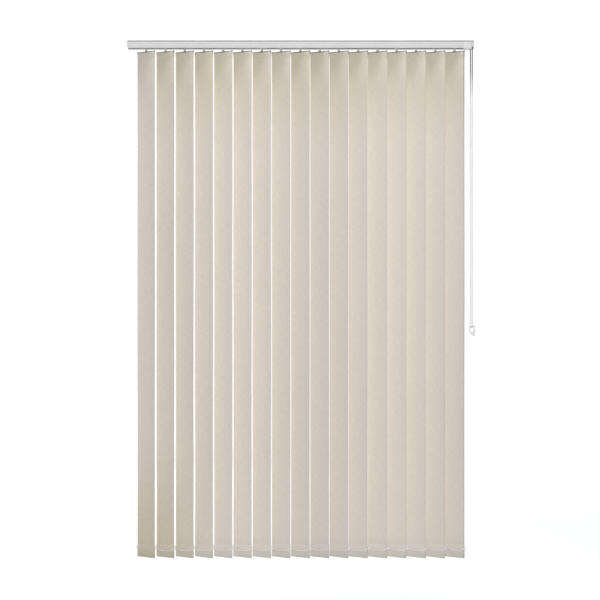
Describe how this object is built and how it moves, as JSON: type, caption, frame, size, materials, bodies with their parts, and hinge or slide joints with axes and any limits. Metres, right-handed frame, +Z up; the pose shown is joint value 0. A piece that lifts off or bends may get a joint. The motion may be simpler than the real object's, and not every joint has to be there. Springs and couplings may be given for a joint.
{
  "type": "vertical blind",
  "caption": "Vertical blind: beige fabric louvres on turning stems under a white headrail, with a bead chain loop and a linking chain along the bottom.",
  "frame": {"origin": "middle of the line of ceiling screws, on the ceiling plane that the brackets meet", "axes": "+X along the headrail to the right as seen from the room, +Y away from the room, +Z up"},
  "size_m": [1.409, 0.0577, 2.0914],
  "materials": {
    "rail_white": "satin",
    "end_plastic": "satin",
    "bracket_steel": "satin",
    "rod_aluminium": "satin",
    "mechanism_plastic": "matte",
    "stem_plastic": "matte",
    "chain_plastic": "gloss",
    "tidy_plastic": "gloss",
    "louvre_fabric": "matte"
  },
  "bodies": {
    "headrail": {"headrail": "rail_white", "idle_end_cap": "end_plastic", "control_housing": "end_plastic", "mounting_brackets": "bracket_steel", "control_chain": "chain_plastic", "chain_tidy": "tidy_plastic", "runner_17": "mechanism_plastic"},
    "runner_01": {"runner_01": "mechanism_plastic"},
    "runner_02": {"runner_02": "mechanism_plastic"},
    "runner_03": {"runner_03": "mechanism_plastic"},
    "runner_04": {"runner_04": "mechanism_plastic"},
    "runner_05": {"runner_05": "mechanism_plastic"},
    "runner_06": {"runner_06": "mechanism_plastic"},
    "runner_07": {"runner_07": "mechanism_plastic"},
    "runner_08": {"runner_08": "mechanism_plastic"},
    "runner_09": {"runner_09": "mechanism_plastic"},
    "runner_10": {"runner_10": "mechanism_plastic"},
    "runner_11": {"runner_11": "mechanism_plastic"},
    "runner_12": {"runner_12": "mechanism_plastic"},
    "runner_13": {"runner_13": "mechanism_plastic"},
    "runner_14": {"runner_14": "mechanism_plastic"},
    "runner_15": {"runner_15": "mechanism_plastic"},
    "runner_16": {"runner_16": "mechanism_plastic"},
    "vane_01": {"stem_01": "stem_plastic", "louvre_01": "louvre_fabric"},
    "vane_02": {"stem_02": "stem_plastic", "louvre_02": "louvre_fabric"},
    "vane_03": {"stem_03": "stem_plastic", "louvre_03": "louvre_fabric"},
    "vane_04": {"stem_04": "stem_plastic", "louvre_04": "louvre_fabric"},
    "vane_05": {"stem_05": "stem_plastic", "louvre_05": "louvre_fabric"},
    "vane_06": {"stem_06": "stem_plastic", "louvre_06": "louvre_fabric"},
    "vane_07": {"stem_07": "stem_plastic", "louvre_07": "louvre_fabric"},
    "vane_08": {"stem_08": "stem_plastic", "louvre_08": "louvre_fabric"},
    "vane_09": {"stem_09": "stem_plastic", "louvre_09": "louvre_fabric"},
    "vane_10": {"stem_10": "stem_plastic", "louvre_10": "louvre_fabric"},
    "vane_11": {"stem_11": "stem_plastic", "louvre_11": "louvre_fabric"},
    "vane_12": {"stem_12": "stem_plastic", "louvre_12": "louvre_fabric"},
    "vane_13": {"stem_13": "stem_plastic", "louvre_13": "louvre_fabric"},
    "vane_14": {"stem_14": "stem_plastic", "louvre_14": "louvre_fabric"},
    "vane_15": {"stem_15": "stem_plastic", "louvre_15": "louvre_fabric"},
    "vane_16": {"stem_16": "stem_plastic", "louvre_16": "louvre_fabric"},
    "vane_17": {"stem_17": "stem_plastic", "louvre_17": "louvre_fabric"},
    "tilt_drive": {"tilt_rod": "rod_aluminium", "chain_wheel": "mechanism_plastic"},
    "bottom_chain": {"bottom_chain": "chain_plastic"}
  },
  "joints": [
    {"name": "traverse", "type": "slide", "parent": "headrail", "child": "runner_01", "axis": [1, 0, 0], "range_m": [0, 0.96], "deforming": ["bottom_chain"]},
    {"name": "runner_02_slide", "type": "slide", "parent": "headrail", "child": "runner_02", "axis": [1, 0, 0], "range_m": [0, 0.9]},
    {"name": "runner_03_slide", "type": "slide", "parent": "headrail", "child": "runner_03", "axis": [1, 0, 0], "range_m": [0, 0.84]},
    {"name": "runner_04_slide", "type": "slide", "parent": "headrail", "child": "runner_04", "axis": [1, 0, 0], "range_m": [0, 0.78]},
    {"name": "runner_05_slide", "type": "slide", "parent": "headrail", "child": "runner_05", "axis": [1, 0, 0], "range_m": [0, 0.72]},
    {"name": "runner_06_slide", "type": "slide", "parent": "headrail", "child": "runner_06", "axis": [1, 0, 0], "range_m": [0, 0.66]},
    {"name": "runner_07_slide", "type": "slide", "parent": "headrail", "child": "runner_07", "axis": [1, 0, 0], "range_m": [0, 0.6]},
    {"name": "runner_08_slide", "type": "slide", "parent": "headrail", "child": "runner_08", "axis": [1, 0, 0], "range_m": [0, 0.54]},
    {"name": "runner_09_slide", "type": "slide", "parent": "headrail", "child": "runner_09", "axis": [1, 0, 0], "range_m": [0, 0.48]},
    {"name": "runner_10_slide", "type": "slide", "parent": "headrail", "child": "runner_10", "axis": [1, 0, 0], "range_m": [0, 0.42]},
    {"name": "runner_11_slide", "type": "slide", "parent": "headrail", "child": "runner_11", "axis": [1, 0, 0], "range_m": [0, 0.36]},
    {"name": "runner_12_slide", "type": "slide", "parent": "headrail", "child": "runner_12", "axis": [1, 0, 0], "range_m": [0, 0.3]},
    {"name": "runner_13_slide", "type": "slide", "parent": "headrail", "child": "runner_13", "axis": [1, 0, 0], "range_m": [0, 0.24]},
    {"name": "runner_14_slide", "type": "slide", "parent": "headrail", "child": "runner_14", "axis": [1, 0, 0], "range_m": [0, 0.18]},
    {"name": "runner_15_slide", "type": "slide", "parent": "headrail", "child": "runner_15", "axis": [1, 0, 0], "range_m": [0, 0.12]},
    {"name": "runner_16_slide", "type": "slide", "parent": "headrail", "child": "runner_16", "axis": [1, 0, 0], "range_m": [0, 0.06]},
    {"name": "vane_01_tilt", "type": "hinge", "parent": "runner_01", "child": "vane_01", "pos_m": [-0.624, 0, 0], "axis": [0, 0, -1], "range_deg": [-22, 136]},
    {"name": "vane_02_tilt", "type": "hinge", "parent": "runner_02", "child": "vane_02", "pos_m": [-0.546, 0, 0], "axis": [0, 0, -1], "range_deg": [-22, 136]},
    {"name": "vane_03_tilt", "type": "hinge", "parent": "runner_03", "child": "vane_03", "pos_m": [-0.468, 0, 0], "axis": [0, 0, -1], "range_deg": [-22, 136]},
    {"name": "vane_04_tilt", "type": "hinge", "parent": "runner_04", "child": "vane_04", "pos_m": [-0.39, 0, 0], "axis": [0, 0, -1], "range_deg": [-22, 136]},
    {"name": "vane_05_tilt", "type": "hinge", "parent": "runner_05", "child": "vane_05", "pos_m": [-0.312, 0, 0], "axis": [0, 0, -1], "range_deg": [-22, 136]},
    {"name": "vane_06_tilt", "type": "hinge", "parent": "runner_06", "child": "vane_06", "pos_m": [-0.234, 0, 0], "axis": [0, 0, -1], "range_deg": [-22, 136]},
    {"name": "vane_07_tilt", "type": "hinge", "parent": "runner_07", "child": "vane_07", "pos_m": [-0.156, 0, 0], "axis": [0, 0, -1], "range_deg": [-22, 136]},
    {"name": "vane_08_tilt", "type": "hinge", "parent": "runner_08", "child": "vane_08", "pos_m": [-0.078, 0, 0], "axis": [0, 0, -1], "range_deg": [-22, 136]},
    {"name": "vane_09_tilt", "type": "hinge", "parent": "runner_09", "child": "vane_09", "pos_m": [0, 0, 0], "axis": [0, 0, -1], "range_deg": [-22, 136]},
    {"name": "vane_10_tilt", "type": "hinge", "parent": "runner_10", "child": "vane_10", "pos_m": [0.078, 0, 0], "axis": [0, 0, -1], "range_deg": [-22, 136]},
    {"name": "vane_11_tilt", "type": "hinge", "parent": "runner_11", "child": "vane_11", "pos_m": [0.156, 0, 0], "axis": [0, 0, -1], "range_deg": [-22, 136]},
    {"name": "vane_12_tilt", "type": "hinge", "parent": "runner_12", "child": "vane_12", "pos_m": [0.234, 0, 0], "axis": [0, 0, -1], "range_deg": [-22, 136]},
    {"name": "vane_13_tilt", "type": "hinge", "parent": "runner_13", "child": "vane_13", "pos_m": [0.312, 0, 0], "axis": [0, 0, -1], "range_deg": [-22, 136]},
    {"name": "vane_14_tilt", "type": "hinge", "parent": "runner_14", "child": "vane_14", "pos_m": [0.39, 0, 0], "axis": [0, 0, -1], "range_deg": [-22, 136]},
    {"name": "vane_15_tilt", "type": "hinge", "parent": "runner_15", "child": "vane_15", "pos_m": [0.468, 0, 0], "axis": [0, 0, -1], "range_deg": [-22, 136]},
    {"name": "vane_16_tilt", "type": "hinge", "parent": "runner_16", "child": "vane_16", "pos_m": [0.546, 0, 0], "axis": [0, 0, -1], "range_deg": [-22, 136]},
    {"name": "tilt", "type": "hinge", "parent": "headrail", "child": "vane_17", "pos_m": [0.624, 0, 0], "axis": [0, 0, -1], "range_deg": [-22, 136]},
    {"name": "chain_drive", "type": "hinge", "parent": "headrail", "child": "tilt_drive", "pos_m": [0, 0.0086, -0.0189], "axis": [1, 0, 0], "range_deg": [-308, 1904]},
    {"name": "bottom_chain_swing", "type": "hinge", "parent": "vane_17", "child": "bottom_chain", "pos_m": [0.66593, -0.02723, 0], "axis": [0, 0, -1], "range_deg": [-136, 22]}
  ],
  "couplings": [
    {"joint": "runner_02_slide", "follows": "traverse", "ratio": 0.9375},
    {"joint": "runner_03_slide", "follows": "traverse", "ratio": 0.875},
    {"joint": "runner_04_slide", "follows": "traverse", "ratio": 0.8125},
    {"joint": "runner_05_slide", "follows": "traverse", "ratio": 0.75},
    {"joint": "runner_06_slide", "follows": "traverse", "ratio": 0.6875},
    {"joint": "runner_07_slide", "follows": "traverse", "ratio": 0.625},
    {"joint": "runner_08_slide", "follows": "traverse", "ratio": 0.5625},
    {"joint": "runner_09_slide", "follows": "traverse", "ratio": 0.5},
    {"joint": "runner_10_slide", "follows": "traverse", "ratio": 0.4375},
    {"joint": "runner_11_slide", "follows": "traverse", "ratio": 0.375},
    {"joint": "runner_12_slide", "follows": "traverse", "ratio": 0.3125},
    {"joint": "runner_13_slide", "follows": "traverse", "ratio": 0.25},
    {"joint": "runner_14_slide", "follows": "traverse", "ratio": 0.1875},
    {"joint": "runner_15_slide", "follows": "traverse", "ratio": 0.125},
    {"joint": "runner_16_slide", "follows": "traverse", "ratio": 0.0625},
    {"joint": "vane_01_tilt", "follows": "tilt", "ratio": 1},
    {"joint": "vane_02_tilt", "follows": "tilt", "ratio": 1},
    {"joint": "vane_03_tilt", "follows": "tilt", "ratio": 1},
    {"joint": "vane_04_tilt", "follows": "tilt", "ratio": 1},
    {"joint": "vane_05_tilt", "follows": "tilt", "ratio": 1},
    {"joint": "vane_06_tilt", "follows": "tilt", "ratio": 1},
    {"joint": "vane_07_tilt", "follows": "tilt", "ratio": 1},
    {"joint": "vane_08_tilt", "follows": "tilt", "ratio": 1},
    {"joint": "vane_09_tilt", "follows": "tilt", "ratio": 1},
    {"joint": "vane_10_tilt", "follows": "tilt", "ratio": 1},
    {"joint": "vane_11_tilt", "follows": "tilt", "ratio": 1},
    {"joint": "vane_12_tilt", "follows": "tilt", "ratio": 1},
    {"joint": "vane_13_tilt", "follows": "tilt", "ratio": 1},
    {"joint": "vane_14_tilt", "follows": "tilt", "ratio": 1},
    {"joint": "vane_15_tilt", "follows": "tilt", "ratio": 1},
    {"joint": "vane_16_tilt", "follows": "tilt", "ratio": 1},
    {"joint": "chain_drive", "follows": "tilt", "ratio": 14},
    {"joint": "bottom_chain_swing", "follows": "tilt", "ratio": -1}
  ]
}
